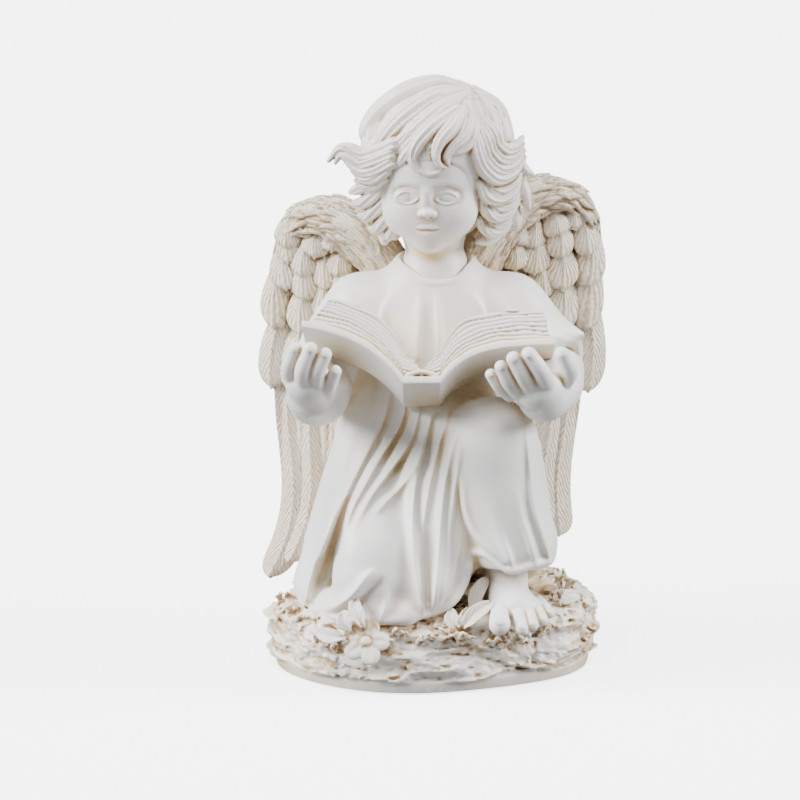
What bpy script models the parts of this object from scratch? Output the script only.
"""Angel garden statue, cast in one piece: a winged child kneeling on a rock and reading an open book.

Metres, +Z up, the angel faces -Y. The origin is under the middle of the rock, on its flat underside.
Run it with blender --background --python part.py, or from Blender's text editor.
"""

import math

import bmesh
import bpy
from mathutils import Matrix, Vector, noise
from mathutils.bvhtree import BVHTree

# Driving sizes, in metres
STATUE_HEIGHT = 0.200
BASE_WIDTH = 0.115
BASE_DEPTH = 0.092
BASE_HEIGHT = 0.024
BOOK_LENGTH = 0.036
BOOK_SPINE_WIDTH = 0.012
BOOK_LEFT_REACH = 0.0325
BOOK_RIGHT_REACH = 0.0370
BOOK_COVER_THICKNESS = 0.0026
BOOK_PAGES_THICKNESS = 0.0080
BOOK_COVER_OVERHANG = 0.0015
WING_THICKNESS = 0.0060

# The free forms are drawn in millimetres on a statue 200 high, with the ground at 24
DRAWN_HEIGHT = 200.0
DRAWN_GROUND = 24.0
UNIT = (STATUE_HEIGHT - BASE_HEIGHT) / (DRAWN_HEIGHT - DRAWN_GROUND)

# How finely the casting's skin is made
SKIN_CELL = 0.0009
SKIN_SMOOTHING = 0.5
SKIN_SMOOTHING_PASSES = 2
DRAPE_SMOOTHING_PASSES = 30
SKIN_TRIANGLES = 9600

BOOK_TILT = math.radians(23)
BOOK_FRONT = (-3.0, -50.0, 105.6)
WING_SWEEP = math.radians(17)
CAST_COLOUR = (0.86, 0.82, 0.74, 1.0)


def place(x, y, z):
    """A drawn point, in millimetres, as a point of the statue in metres."""
    return Vector((x * UNIT, y * UNIT, BASE_HEIGHT + (z - DRAWN_GROUND) * UNIT))


def collection(name):
    """A new collection in the scene."""
    made = bpy.data.collections.new(name)
    bpy.context.scene.collection.children.link(made)
    return made


def linked(name, data):
    """A new object of this data, in the collection of shapes that the casting is made from."""
    obj = bpy.data.objects.new(name, data)
    shapes.objects.link(obj)
    return obj


def skinned(name, sources, smoothing_passes):
    """One mesh skinned over all the sources, with its creases eased by passes of smoothing."""
    rough = bpy.data.objects.new(name, world_mesh(sources))
    shapes.objects.link(rough)
    remesh = rough.modifiers.new("skin", "REMESH")
    remesh.mode = "VOXEL"
    remesh.voxel_size = SKIN_CELL
    smooth = rough.modifiers.new("soften", "SMOOTH")
    smooth.factor = SKIN_SMOOTHING
    smooth.iterations = round(smoothing_passes)
    bpy.context.view_layer.update()
    skin = bpy.data.meshes.new_from_object(rough.evaluated_get(bpy.context.evaluated_depsgraph_get()))
    for obj in sources + [rough]:
        bpy.data.objects.remove(obj)
    return skin


def ball(name, centre, radii, tilt=(0, 0, 0)):
    """An ellipsoid at a drawn centre, with drawn radii, turned by tilt in degrees about X, Y and Z."""
    bm = bmesh.new()
    bmesh.ops.create_uvsphere(bm, u_segments=24, v_segments=14, radius=1.0)
    bmesh.ops.scale(bm, vec=Vector(radii) * UNIT, verts=bm.verts)
    mesh = bpy.data.meshes.new(name)
    bm.to_mesh(mesh)
    bm.free()
    obj = linked(name, mesh)
    obj.rotation_euler = [math.radians(a) for a in tilt]
    obj.location = place(*centre)
    return obj


def path_curve(name, points, radii, cyclic=False):
    """A smooth curve through points in metres, whose bevel is scaled by radii."""
    data = bpy.data.curves.new(name, "CURVE")
    data.dimensions = "3D"
    data.resolution_u = 6
    data.use_fill_caps = True
    spline = data.splines.new("BEZIER")
    spline.bezier_points.add(len(points) - 1)
    spline.use_cyclic_u = cyclic
    for knot, point, radius in zip(spline.bezier_points, points, radii):
        knot.co = point
        knot.radius = radius
        knot.handle_left_type = knot.handle_right_type = "AUTO"
    return linked(name, data)


def limb(name, stations, widen=1.0, round_end=True):
    """A round limb through drawn stations (x, y, z, radius). Widen stretches it in X. The end can be cut flat."""
    points = [place(x / widen, y, z) for x, y, z, _ in stations]
    obj = path_curve(name, points, [r for *_, r in stations])
    obj.data.bevel_depth = UNIT
    obj.data.bevel_resolution = 4
    obj.scale.x = widen
    ends = (stations[0], stations[-1]) if round_end else (stations[0],)
    for number, (x, y, z, r) in enumerate(ends):
        ball(f"{name}_end_{number}", (x, y, z), (r * widen, r, r))
    return obj


def rock_base():
    """The rock: a round-edged oval slab with a craggy, ledged wall, flat below."""
    sunk = 0.004
    squareness = 0.38
    ledge = 0.0058
    lobes = ((2, 0.02, 0.6), (3, 0.03, 2.1), (5, 0.016, 4.0))
    bm = bmesh.new()
    bmesh.ops.create_uvsphere(bm, u_segments=120, v_segments=56, radius=1.0)
    for vert in bm.verts:
        across = math.hypot(vert.co.x, vert.co.y)
        turn = math.atan2(vert.co.y, vert.co.x)
        level = math.copysign(abs(vert.co.z) ** (squareness * 1.5), vert.co.z)
        rise = 0.5 * (1 + level)
        lobe = 1 + sum(size * math.sin(n * turn + start) for n, size, start in lobes)
        reach = across**squareness * lobe * (1 - 0.07 * (1 - rise) ** 2)
        x = 0.5 * BASE_WIDTH * reach * math.cos(turn)
        y = 0.5 * BASE_DEPTH * reach * math.sin(turn)
        z = (BASE_HEIGHT + sunk) * rise - sunk
        crag = noise.fractal(Vector((x, y, 1.6 * z)) * 85, 0.8, 2.1, 4)
        shelf = abs(math.sin(math.pi * z / ledge + 2.5 * noise.noise(Vector((x, y, 0)) * 60)))
        wall = 0.0026 * crag + 0.0022 * (shelf - 0.6)
        front_fall = 0.22 * BASE_HEIGHT * max(0.0, -y / (0.5 * BASE_DEPTH)) ** 3
        push = wall * min(1.0, across * 1.6)
        vert.co = (x + push * math.cos(turn), y + push * math.sin(turn), z + (0.0014 * crag - front_fall) * rise)
    for axis, size in ((0, BASE_WIDTH), (1, BASE_DEPTH)):
        low, high = min(v.co[axis] for v in bm.verts), max(v.co[axis] for v in bm.verts)
        for vert in bm.verts:
            vert.co[axis] = (vert.co[axis] - 0.5 * (low + high)) * size / (high - low)
    mesh = bpy.data.meshes.new("rock")
    bm.to_mesh(mesh)
    bm.free()
    return linked("rock", mesh)


def leaf(name, centre, length, width, turn, lift=25):
    """A plump leaf that lies on the rock, pointing along turn, in degrees."""
    return ball(name, centre, (0.5 * length, 0.5 * width, 1.3), (0, -lift, turn))


def plants():
    """The five-petalled flower, the leaves round it and those beside the foot."""
    middle = (-20.5, -41.5, 22.5)
    petals = 5
    petal_reach = 4.6
    for i in range(petals):
        turn = 2 * math.pi * i / petals + 0.3
        x = middle[0] + petal_reach * math.cos(turn)
        z = middle[2] + petal_reach * math.sin(turn)
        ball(f"petal_{i}", (x, middle[1] - 0.3, z), (3.5, 1.9, 2.9), (0, -math.degrees(turn), 0))
    ball("flower_eye", (middle[0], middle[1] - 1.6, middle[2]), (1.6, 1.4, 1.6))
    leaf("leaf_behind_flower", (-24, -36, 26), 12, 6, 95, 50)
    leaf("leaf_left_of_flower", (-32, -38, 20.5), 11, 6, 160)
    leaf("leaf_far_left", (-40, -30, 21.5), 10, 5, 200)
    leaf("leaf_right_of_flower", (-9, -41, 20.5), 11, 5, 20)
    leaf("leaf_by_foot", (15.5, -40.5, 26), 11, 5.4, 70, 40)
    leaf("leaf_by_hem", (11, -41, 23), 11, 5.4, 110, 30)
    leaf("leaf_front", (4, -42, 20), 10, 5, 150)
    leaf("leaf_right", (42, -26, 27), 11, 7, 30)
    leaf("leaf_back_right", (41, -8, 28), 12, 7, 70, 35)


def robe():
    """The robed body: trunk, the leg that kneels, the leg that is raised, and the cloth between them."""
    limb("trunk", [(-1, 10, 62, 20), (0, 6, 86, 17.5), (1, 4, 108, 16), (1, 3, 123, 13.5), (1, 2, 132, 9.5)], widen=1.25)
    limb("shoulders", [(-23, 4, 121, 11), (1, 4, 125, 11.5), (27, 4, 121, 11)])
    limb("kneeling_thigh", [(-13, 8, 64, 19), (-17, -10, 54, 18), (-18.5, -23, 44, 16), (-18.5, -27, 37, 14)])
    limb("kneeling_shin", [(-17, -22, 34, 13), (-15, 4, 34, 15), (-12, 26, 33, 12)])
    limb("raised_thigh", [(12, 8, 68, 18), (16, -10, 76, 16), (19.5, -24, 81, 15)])
    limb("raised_shin", [(20, -25, 80, 14.5), (22.5, -26, 68, 14.4), (25.5, -26, 56, 14.2), (28, -25.5, 43, 15.6)], round_end=False)
    limb("seat", [(-2, 18, 56, 20), (-2, 22, 40, 18)], widen=1.2)
    limb("lap_cloth", [(4, -10, 84, 14), (3, -20, 66, 14), (0, -28, 48, 13), (-1, -33, 34, 9)])
    limb("cloth_between", [(8, -18, 70, 12), (8, -24, 52, 12), (6, -30, 36, 9)])
    limb("left_flare", [(-22, 6, 76, 10), (-29, 0, 56, 10), (-35, -6, 42, 9), (-39, -10, 31, 6.5)])
    limb("right_flare", [(26, -8, 74, 11), (29, -8, 60, 11), (32, -10, 47, 10)], round_end=False)
    limb("left_hem_roll", [(-42, -11, 28, 3.6), (-34, -24, 28, 4.2), (-22, -34, 29, 4.6)])
    limb("back_hem", [(-40, -8, 30, 6), (-34, 14, 31, 9), (-14, 32, 31, 9), (12, 32, 31, 9), (30, 12, 33, 9), (34, -8, 40, 7)])


def robe_folds(drape):
    """The robe's folds: ropes of cloth laid on the front of the draped body along (x, z, radius) runs."""
    bpy.context.view_layer.update()
    surface = BVHTree.FromObject(drape, bpy.context.evaluated_depsgraph_get())
    in_front = -2 * BASE_DEPTH
    sink = 0.35
    runs = {
        "fold_hip_a": [(-13.5, 98, 0.9), (-15.5, 88, 1.5), (-19, 80, 2.0), (-24.5, 73, 1.8), (-29, 67.5, 1.0)],
        "fold_hip_b": [(-7, 96, 1.0), (-8.5, 88, 1.6), (-12.4, 81, 2.1), (-18.3, 74, 2.0), (-27, 67, 1.0)],
        "fold_hip_c": [(-3, 94, 1.0), (-5, 85.5, 1.5), (-9.2, 77.8, 1.9), (-16, 70.7, 1.8), (-22, 66, 0.9)],
        "fold_lap_a": [(2.3, 93, 0.9), (-1, 87, 1.5), (-3.6, 75, 1.9), (-5.6, 58, 2.1), (-6.5, 44, 2.0), (-7.5, 31, 1.5)],
        "fold_lap_b": [(6, 90, 1.0), (2.6, 78, 1.7), (0.2, 62, 2.0), (-1, 46, 2.1), (-1.5, 31, 1.6)],
        "fold_lap_c": [(8, 84, 1.2), (6, 75, 1.7), (4.6, 63, 2.0), (4, 47, 2.1), (3.6, 32, 1.6)],
        "fold_shin_left": [(8, 72, 1.0), (9.5, 62, 1.6), (14, 54, 2.1), (19, 48, 1.8), (25, 44.5, 1.2)],
        "fold_shin_right": [(32, 84, 1.0), (33.5, 70, 1.8), (35, 60, 2.0), (38, 51, 1.8), (39.5, 45, 1.2)],
        "fold_left_a": [(-27, 74, 0.9), (-31, 62, 1.7), (-35, 48, 2.2), (-38.5, 34, 2.0), (-40, 29, 1.5)],
        "fold_left_b": [(-24, 62, 0.9), (-30, 50, 1.5), (-33, 38, 1.8), (-34, 28, 1.5)],
        "fold_knee_low": [(-9, 50, 0.9), (-11, 40, 1.6), (-15, 30, 1.6)],
        "chest_pleat_left": [(-4, 131, 0.8), (-3.6, 124, 1.4), (-4.5, 112, 1.4)],
        "chest_pleat_middle": [(1.5, 131, 0.8), (2.5, 122, 1.5), (2.5, 110, 1.4)],
        "chest_pleat_right": [(13, 131, 0.8), (18, 124, 1.3), (20, 114, 1.3)],
        "chest_pleat_far_left": [(-14, 131, 0.8), (-17, 122, 1.2), (-18, 112, 1.2)],
        "collar": [(-12, 138, 1.3), (-9.5, 135, 1.6), (-4, 132.8, 1.7), (3, 132, 1.7), (9.5, 133.2, 1.7), (14, 137.5, 1.3)],
    }
    for name, run in runs.items():
        stations = []
        for x, z, radius in run:
            seen = place(x, 0, z)
            hit = surface.ray_cast(Vector((seen.x, in_front, seen.z)), Vector((0, 1, 0)))[0]
            if hit is not None:
                stations.append((x, hit.y / UNIT + sink * radius, z, radius))
        limb(name, stations)


def hem():
    """The hem's rolled edge over the foot, and the lip of cloth beside it."""
    limb("hem_over_foot", [(13, -40, 43, 1.8), (17, -41.5, 44.5, 2.2), (24, -42, 43, 2.2), (33, -38, 43.5, 2.1), (40, -28, 43.5, 1.9)])
    limb("hem_beside_foot", [(13, -40, 43, 2.0), (12, -39, 37, 2.0), (7, -39, 31.5, 2.2), (0, -40, 28.5, 2.2), (-12, -40, 27.5, 2.2)])


def arms_and_hands():
    """Sleeved upper arms, bare forearms, and the fingers that curl up in front of the book's covers."""
    limb("left_sleeve", [(-24, 4, 124, 11.5), (-31, 3, 112, 12), (-36, -1, 101, 12)])
    limb("right_sleeve", [(27, 4, 124, 11.5), (34, 2, 116, 12), (41, -4, 109, 11)])
    limb("right_sleeve_tip", [(40, -4, 112, 8), (49, -11, 114.5, 1.6)])
    limb("left_forearm", [(-37, -4, 97, 10.5), (-37.5, -26, 97.5, 10), (-38, -42, 102.5, 8)])
    limb("right_forearm", [(41, -6, 103, 9.6), (40, -26, 101, 9.4), (35.5, -41, 100, 8.2)])
    fingers = {
        "left_little": [(-44.5, -46, 106, 2.3), (-45.2, -51, 112, 2.1), (-43, -53, 118.6, 1.8)],
        "left_ring": [(-40.2, -47, 104.5, 2.4), (-40.4, -53, 111, 2.2), (-38, -55, 119, 1.9)],
        "left_middle": [(-36, -46.5, 103.5, 2.3), (-35.9, -52.5, 110, 2.1), (-33.4, -54.5, 117.2, 1.9)],
        "left_index": [(-33, -43, 100.5, 2.2), (-31.6, -48.5, 105.5, 2.0), (-30.2, -51, 110.6, 1.7)],
        "right_little": [(25, -44, 101, 2.1), (21.6, -48, 104.6, 1.9), (18.9, -50, 109.5, 1.6)],
        "right_ring": [(28.6, -46, 101.5, 2.3), (24.6, -51, 106.4, 2.1), (22, -53, 112.6, 1.8)],
        "right_middle": [(32.8, -47.5, 102.2, 2.4), (29.2, -53, 108.8, 2.2), (26.2, -55, 115.6, 1.9)],
        "right_index": [(37.4, -47.5, 104, 2.5), (34.8, -53.5, 110.6, 2.3), (31, -55.2, 117, 2.0)],
        "right_thumb": [(42.2, -38, 104, 2.9), (43.8, -45, 109, 2.4), (41.6, -48.5, 115.4, 2.0)],
    }
    for name, stations in fingers.items():
        limb(name, stations)


def foot():
    """The bare foot in front of the raised leg, with five toes."""
    limb("ankle", [(26, -24, 46, 7), (25, -23, 36, 6.4), (24.5, -18, 31, 6.6)])
    limb("instep", [(24.5, -22, 33, 6.8), (26, -32, 29.5, 6.6), (27.5, -38, 27.5, 5.4)])
    ball("ball_of_foot", (28.5, -36.5, 27), (8.6, 6.5, 4.2), (0, 0, -12))
    toes = {
        "big_toe": [(22.6, -38, 27.5, 3.6), (22.2, -45.5, 26.2, 3.5)],
        "second_toe": [(27.4, -40, 27.2, 2.7), (28.4, -46, 25, 2.5)],
        "third_toe": [(31.2, -38.5, 27.2, 2.5), (32.8, -43.4, 25.2, 2.3)],
        "fourth_toe": [(34, -36, 27.4, 2.3), (36.2, -40.2, 26, 2.1)],
        "little_toe": [(36, -33, 27.6, 2.2), (38.8, -36, 26.6, 1.9)],
    }
    for name, stations in toes.items():
        limb(name, stations)


def head():
    """Neck, skull and a plain child's face: cheeks, nose, closed lips, chin, brow and eyelids."""
    limb("neck", [(1, 3, 150, 10.5), (1, 3, 134, 11)])
    ball("skull", (1, 1, 173), (19.5, 21, 22.5))
    ball("face", (0.5, -6, 160), (16.4, 15.5, 17))
    ball("chin", (0.3, -16.4, 148.2), (5.0, 4.2, 3.8))
    ball("nose", (0.2, -22.2, 158.2), (2.5, 2.7, 2.2))
    limb("nose_bridge", [(0.2, -19.8, 165, 1.9), (0.2, -21.6, 159.5, 2.1)])
    ball("upper_lip", (0.2, -20.4, 153.2), (3.6, 1.8, 1.2))
    ball("lower_lip", (0.2, -19.9, 151.2), (3.0, 1.8, 1.2))
    for side, name in ((-1, "left"), (1, "right")):
        ball(f"{name}_cheek", (0.3 + side * 8.4, -13.6, 154.5), (7.0, 6.0, 7.2))
        ball(f"{name}_eye", (0.3 + side * 7.2, -17.6, 164), (3.6, 2.2, 2.4))
        ball(f"{name}_brow", (0.3 + side * 7.4, -17.4, 169), (6.4, 3.4, 2.8))


def hair():
    """A cap of hair with a side parting, wavy locks to each side and a curl on the forehead."""
    ball("hair_cap", (2.2, 4, 176.2), (22.8, 22.5, 23))
    ball("hair_nape", (1.5, 10, 160), (19.5, 14, 16))
    locks = {
        "crown_left": [(9, -1, 197.2, 2.8), (-1, -3, 195.6, 4.4), (-11.5, -4, 190.6, 4.8), (-17.5, -5, 183.5, 4.8), (-19, -7, 174, 4)],
        "fringe_sweep": [(9, -11, 191.5, 3), (0, -17, 188, 4.5), (-9, -18.5, 183.5, 5), (-15, -16, 178, 4.8), (-20, -13, 173, 3.6)],
        "flying_curl": [(-18, -12, 176, 3.6), (-25, -11.5, 173, 3.4), (-30, -10.5, 173, 2.6), (-34, -9.5, 171, 1.2)],
        "ear_curl": [(-19, -10, 172, 3.8), (-24, -9, 168, 3), (-28, -8, 168, 1.8)],
        "temple_lock": [(-14, -14, 182, 4.6), (-18, -9, 177, 4.6), (-20.5, -5, 170, 4.4), (-21, -3, 163, 3.6), (-18, -6, 158.5, 1.8)],
        "forehead_curl": [(10, -15, 189, 3.4), (3, -21, 183.5, 3.6), (-0.5, -23, 177.5, 3), (1.5, -24.2, 173, 2.2), (5.5, -24, 174, 1.4)],
        "forehead_lock": [(10, -15, 190, 3.6), (10.5, -20.5, 184, 3.6), (7.5, -22.5, 179, 2.6), (6.5, -23.5, 175.5, 1.3)],
        "crown_right": [(11, 0, 197, 2.8), (17.5, -2, 191, 3.6), (21.5, -4, 183.5, 4), (21.5, -8, 175, 4), (17, -12, 169, 2.5)],
        "right_sweep": [(12, -11, 192, 3), (17.5, -12.5, 187, 4), (19.5, -13.5, 180, 4.2), (18, -15, 172.5, 3.4), (14.5, -16, 167.5, 1.8)],
        "right_wave": [(18, 4, 192, 4), (22.5, 3, 185, 4), (23.5, 1, 177, 4.2), (26.5, 0, 170, 4.2), (25, -5, 164.5, 3.2), (19, -9, 163, 1.8)],
        "right_fly": [(23, 5, 177, 4.4), (28.5, 4, 171.5, 4.2), (31, 2, 164, 3.4), (31.5, 0.5, 158, 1.7)],
        "right_curl": [(24, 3, 166, 5), (27, 0, 160, 4.6), (24, -6, 154.5, 3.8), (18.5, -9, 154, 1.8)],
        "right_low_curl": [(21, 7, 158, 5.4), (23, 3, 151.5, 4.4), (19.5, -2, 147.5, 3.2), (15, -5, 149, 1.6)],
        "left_low_lock": [(-17, 4, 168, 5), (-20.5, 4, 160, 4.8), (-19.5, 2, 152.5, 4.2), (-15.5, 0, 146.5, 2.8), (-12, -1, 145, 1.5)],
    }
    for name, stations in locks.items():
        limb(name, stations)
    back_locks = 9
    for i in range(back_locks):
        turn = math.radians(15 + 150 * i / (back_locks - 1))
        sway = 2.0 * (-1) ** i
        ring = [(13, 192, 4.6), (20.5, 180, 5), (22, 168, 5), (20, 157, 4.6), (17, 148 + sway, 2.4)]
        stations = [
            (1.8 + reach * math.cos(turn) + sway * (k % 2), 5 + 0.92 * reach * math.sin(turn), z, r)
            for k, (reach, z, r) in enumerate(ring)
        ]
        limb(f"back_lock_{i}", stations)


def cover_rise(side, distance):
    """How far a cover has risen above the spine at a distance from the spine's edge, in metres."""
    height, ease = ((20.5, 14.0), (12.8, 8.5))[side > 0]
    return height * UNIT * (1 - math.exp(-distance / (ease * UNIT)))


def slab(name, outline, length):
    """A flat outline, in metres, extruded by a length along its own Z, both ways."""
    data = bpy.data.curves.new(name, "CURVE")
    data.dimensions = "2D"
    data.fill_mode = "BOTH"
    data.extrude = 0.5 * length
    spline = data.splines.new("POLY")
    spline.points.add(len(outline) - 1)
    spline.use_cyclic_u = True
    for point, (x, y) in zip(spline.points, outline):
        point.co = (x, y, 0, 1)
    return linked(name, data)


def book():
    """The open book: two curved boards joined by the spine, and a swelling block of pages on each."""
    steps = 9
    half = 0.5 * BOOK_SPINE_WIDTH
    reaches = {-1: BOOK_LEFT_REACH, 1: BOOK_RIGHT_REACH}
    turn = Matrix.Rotation(math.pi / 2 - BOOK_TILT, 4, "X")
    inward = turn @ Vector((0, 0, -0.5 * BOOK_LENGTH))
    seat = Matrix.Translation(place(*BOOK_FRONT) + inward) @ turn
    pieces = []
    for side, reach in reaches.items():
        below = [(half + reach * k / steps, cover_rise(side, reach * k / steps)) for k in range(steps + 1)]
        board = [(0, 0)] + below
        above = [(x, y + BOOK_COVER_THICKNESS) for x, y in reversed(board)]
        pieces.append(slab(f"board_{side}", [(side * x, y) for x, y in board + above], BOOK_LENGTH))
        span = half + reach - BOOK_COVER_OVERHANG
        bed = [(x, y + 0.5 * BOOK_COVER_THICKNESS) for x, y in board if x <= span]
        swell = [math.sin(0.5 * math.pi * min(1.0, 2.4 * k / steps)) for k in range(steps + 1)]
        fan = 0.86
        top = [
            (fan * span * k / steps, cover_rise(side, max(0.0, span * k / steps - half))
             + BOOK_COVER_THICKNESS + (0.004 + BOOK_PAGES_THICKNESS - 0.004 * k / steps) * swell[k])
            for k in range(1, steps + 1)
        ]
        pages = bed + list(reversed(top))
        block = slab(f"pages_{side}", [(side * x, y) for x, y in pages], BOOK_LENGTH - 2 * BOOK_COVER_OVERHANG)
        pieces.append(block)
    for piece in pieces:
        piece.matrix_world = seat


def wing_plane(side):
    """An empty whose X runs outwards along the wing, Y upwards and Z forwards, swept back from the shoulder."""
    empty = bpy.data.objects.new(f"wing_plane_{side}", None)
    shapes.objects.link(empty)
    upright = Matrix.Rotation(math.pi / 2, 4, "X")
    swept = Matrix.Rotation(side * WING_SWEEP, 4, "Z")
    empty.matrix_world = Matrix.Translation(place(0, 15, DRAWN_GROUND)) @ swept @ upright
    return empty


def in_wing(side, x, z):
    """A point seen from the front at x outwards and z up, in the wing's swept plane, in metres."""
    return Vector((side * x * UNIT / math.cos(WING_SWEEP), (z - DRAWN_GROUND) * UNIT, 0))


def feather(name, plane, root, tip, bow, width, layer):
    """A flat feather in a wing's plane, from root to tip, bowed sideways, lifted a layer off the plane at its tip."""
    along = tip - root
    aside = Vector((-along.y, along.x, 0)).normalized()
    shares = (0.0, 0.3, 0.62, 0.88, 1.0)
    widths = (0.55, 0.9, 1.0, 0.72, 0.12)
    points = [root + along * s + aside * bow * UNIT * math.sin(math.pi * s) + Vector((0, 0, layer)) for s in shares]
    obj = path_curve(name, points, [w * width * UNIT for w in widths])
    obj.data.bevel_mode = "OBJECT"
    obj.data.bevel_object = quill
    obj.data.twist_mode = "Z_UP"
    obj.parent = plane
    return obj


def mixed(a, b, t):
    """The point a share t of the way from a to b."""
    return [p + (q - p) * t for p, q in zip(a, b)]


def wing(side, arm, outline, rows):
    """One wing: its rounded arm, its web, and rows of overlapping feathers on both faces."""
    limb(f"wing_arm_{side}", arm)
    plane = wing_plane(side)
    web = slab(f"wing_web_{side}", [in_wing(side, x, z).xy for x, z in outline], 0.6 * WING_THICKNESS)
    web.parent = plane
    for number, (count, width, depth, outer_root, inner_root, outer_tip, inner_tip, bow) in enumerate(rows):
        for i in range(count):
            t = i / (count - 1)
            root = in_wing(side, *mixed(outer_root, inner_root, t))
            x, z = mixed(outer_tip, inner_tip, t)
            tip = in_wing(side, x, z + 2.0 * (i % 2))
            for face in (-1, 1):
                layer = face * depth * WING_THICKNESS
                feather(f"feather_{side}_{number}_{i}_{face}", plane, root, tip, side * bow * (1 - t), width, layer)


def wings():
    """Both wings, raised behind the shoulders, their long feathers hanging to the rock."""
    wing(-1,
         [(-12, 14, 130, 8), (-19, 19, 143, 8.5), (-30, 24, 150.5, 8.5), (-41, 28, 150, 7), (-48, 30, 141, 5)],
         [(8, 130), (20, 148), (30, 156), (38, 158), (45, 156), (50.5, 150), (52.5, 135), (54, 115), (55.5, 90), (52, 74),
          (49, 60), (48.5, 46), (52, 34), (60.5, 20), (54, 18.5), (44, 26), (34, 33), (24, 42), (10, 60), (7, 100)],
         [(5, 4.6, 0.28, (51, 112), (24, 96), (57.5, 22), (30, 38), -7),
          (5, 4.8, 0.60, (49, 126), (26, 112), (53.5, 86), (31, 76), 1.5),
          (5, 4.4, 0.88, (48, 138), (27, 124), (51, 110), (31, 100), 1.5),
          (4, 4.4, 1.05, (45, 147), (28, 137), (48.5, 127), (31, 117), 1.5)])
    wing(1,
         [(14, 14, 142, 8), (23, 19, 154.5, 8), (35, 25, 159, 6.5), (46, 28, 158.5, 5), (54.5, 31, 150.5, 4)],
         [(8, 130), (20, 154), (32, 163), (44, 163), (53, 157), (58, 149), (59, 124), (58, 108), (57, 95), (52, 80), (48, 66),
          (46, 50), (49, 32), (42, 32), (32, 38), (20, 48), (10, 60), (7, 100)],
         [(5, 4.6, 0.28, (52, 112), (24, 96), (45, 35), (28, 40), -1.5),
          (5, 4.8, 0.60, (54, 132), (27, 116), (54, 90), (33, 80), 1.5),
          (5, 4.6, 0.88, (53.5, 145), (29, 130), (55.5, 117), (33, 106), 1.5),
          (5, 4.2, 1.05, (51, 154), (30, 144), (54, 134), (33, 123), 1.5)])


def world_mesh(objects):
    """One mesh of all these objects as they evaluate, in world space, with the curves' caps welded."""
    weld = 1e-6
    bpy.context.view_layer.update()
    graph = bpy.context.evaluated_depsgraph_get()
    bm = bmesh.new()
    for obj in objects:
        evaluated = obj.evaluated_get(graph)
        mesh = bpy.data.meshes.new_from_object(evaluated)
        mesh.transform(obj.matrix_world)
        bm.from_mesh(mesh)
        bpy.data.meshes.remove(mesh)
    bmesh.ops.remove_doubles(bm, verts=bm.verts, dist=weld)
    mesh = bpy.data.meshes.new("casting_shapes")
    bm.to_mesh(mesh)
    bm.free()
    return mesh


def largest_shell(mesh):
    """Keeps the skin of the casting, and drops the closed hollows that lie inside it."""
    bm = bmesh.new()
    bm.from_mesh(mesh)
    left = set(bm.verts)
    shells = []
    while left:
        shell, edge = set(), {left.pop()}
        while edge:
            vert = edge.pop()
            shell.add(vert)
            edge |= {e.other_vert(vert) for e in vert.link_edges} - shell
        left -= shell
        shells.append(shell)
    keep = max(shells, key=len)
    bmesh.ops.delete(bm, geom=[v for v in bm.verts if v not in keep], context="VERTS")
    bm.to_mesh(mesh)
    bm.free()


def cast_material():
    """The pale ivory finish of the casting."""
    material = bpy.data.materials.new("ivory_cast")
    material.use_nodes = True
    shader = material.node_tree.nodes["Principled BSDF"]
    shader.inputs["Base Color"].default_value = CAST_COLOUR
    shader.inputs["Roughness"].default_value = 0.6
    shader.inputs["Metallic"].default_value = 0.0
    return material


def underside_cutter():
    """A block under the ground plane, which cuts the rock off flat."""
    size = 3 * BASE_WIDTH
    bm = bmesh.new()
    bmesh.ops.create_cube(bm, size=size)
    bmesh.ops.translate(bm, verts=bm.verts, vec=(0, 0, -0.5 * size))
    mesh = bpy.data.meshes.new("underside_cutter")
    bm.to_mesh(mesh)
    bm.free()
    cutter = bpy.data.objects.new("underside_cutter", mesh)
    cutters.objects.link(cutter)
    cutter.hide_render = True
    cutter.display_type = "WIRE"
    return cutter


def casting():
    """Fuses the shapes into one skin, thins it to flat facets where it is smooth, and cuts it flat below."""
    solid = [o for o in shapes.objects if o.type in ("MESH", "CURVE") and o is not quill]
    skin = skinned("rough_casting", solid, SKIN_SMOOTHING_PASSES)
    largest_shell(skin)
    for obj in list(shapes.objects):
        bpy.data.objects.remove(obj)
    bpy.data.collections.remove(shapes)

    skin.materials.clear()
    skin.materials.append(cast_material())
    statue = bpy.data.objects.new("angel_statue", skin)
    statue_parts.objects.link(statue)
    thin = statue.modifiers.new("facets", "DECIMATE")
    thin.ratio = SKIN_TRIANGLES / sum(len(face.vertices) - 2 for face in skin.polygons)
    cut = statue.modifiers.new("flat_underside", "BOOLEAN")
    cut.operation = "DIFFERENCE"
    cut.object = underside_cutter()
    return statue


for leftover in list(bpy.data.objects):
    bpy.data.objects.remove(leftover)
statue_parts = collection("angel_garden_statue")
cutters = collection("cutters")
shapes = collection("shapes")

quill_data = bpy.data.curves.new("quill", "CURVE")
quill_data.dimensions = "2D"
quill_ring = quill_data.splines.new("POLY")
QUILL_SIDES = 12
quill_ring.points.add(QUILL_SIDES - 1)
quill_ring.use_cyclic_u = True
for corner, knot in enumerate(quill_ring.points):
    angle = 2 * math.pi * corner / QUILL_SIDES
    knot.co = (math.cos(angle), 0.34 * math.sin(angle), 0, 1)

robe()
draped_body = linked("draped_body", skinned("rough_body", list(shapes.objects), DRAPE_SMOOTHING_PASSES))
quill = linked("quill", quill_data)
robe_folds(draped_body)
hem()
rock_base()
plants()
arms_and_hands()
foot()
head()
hair()
book()
wings()
casting()
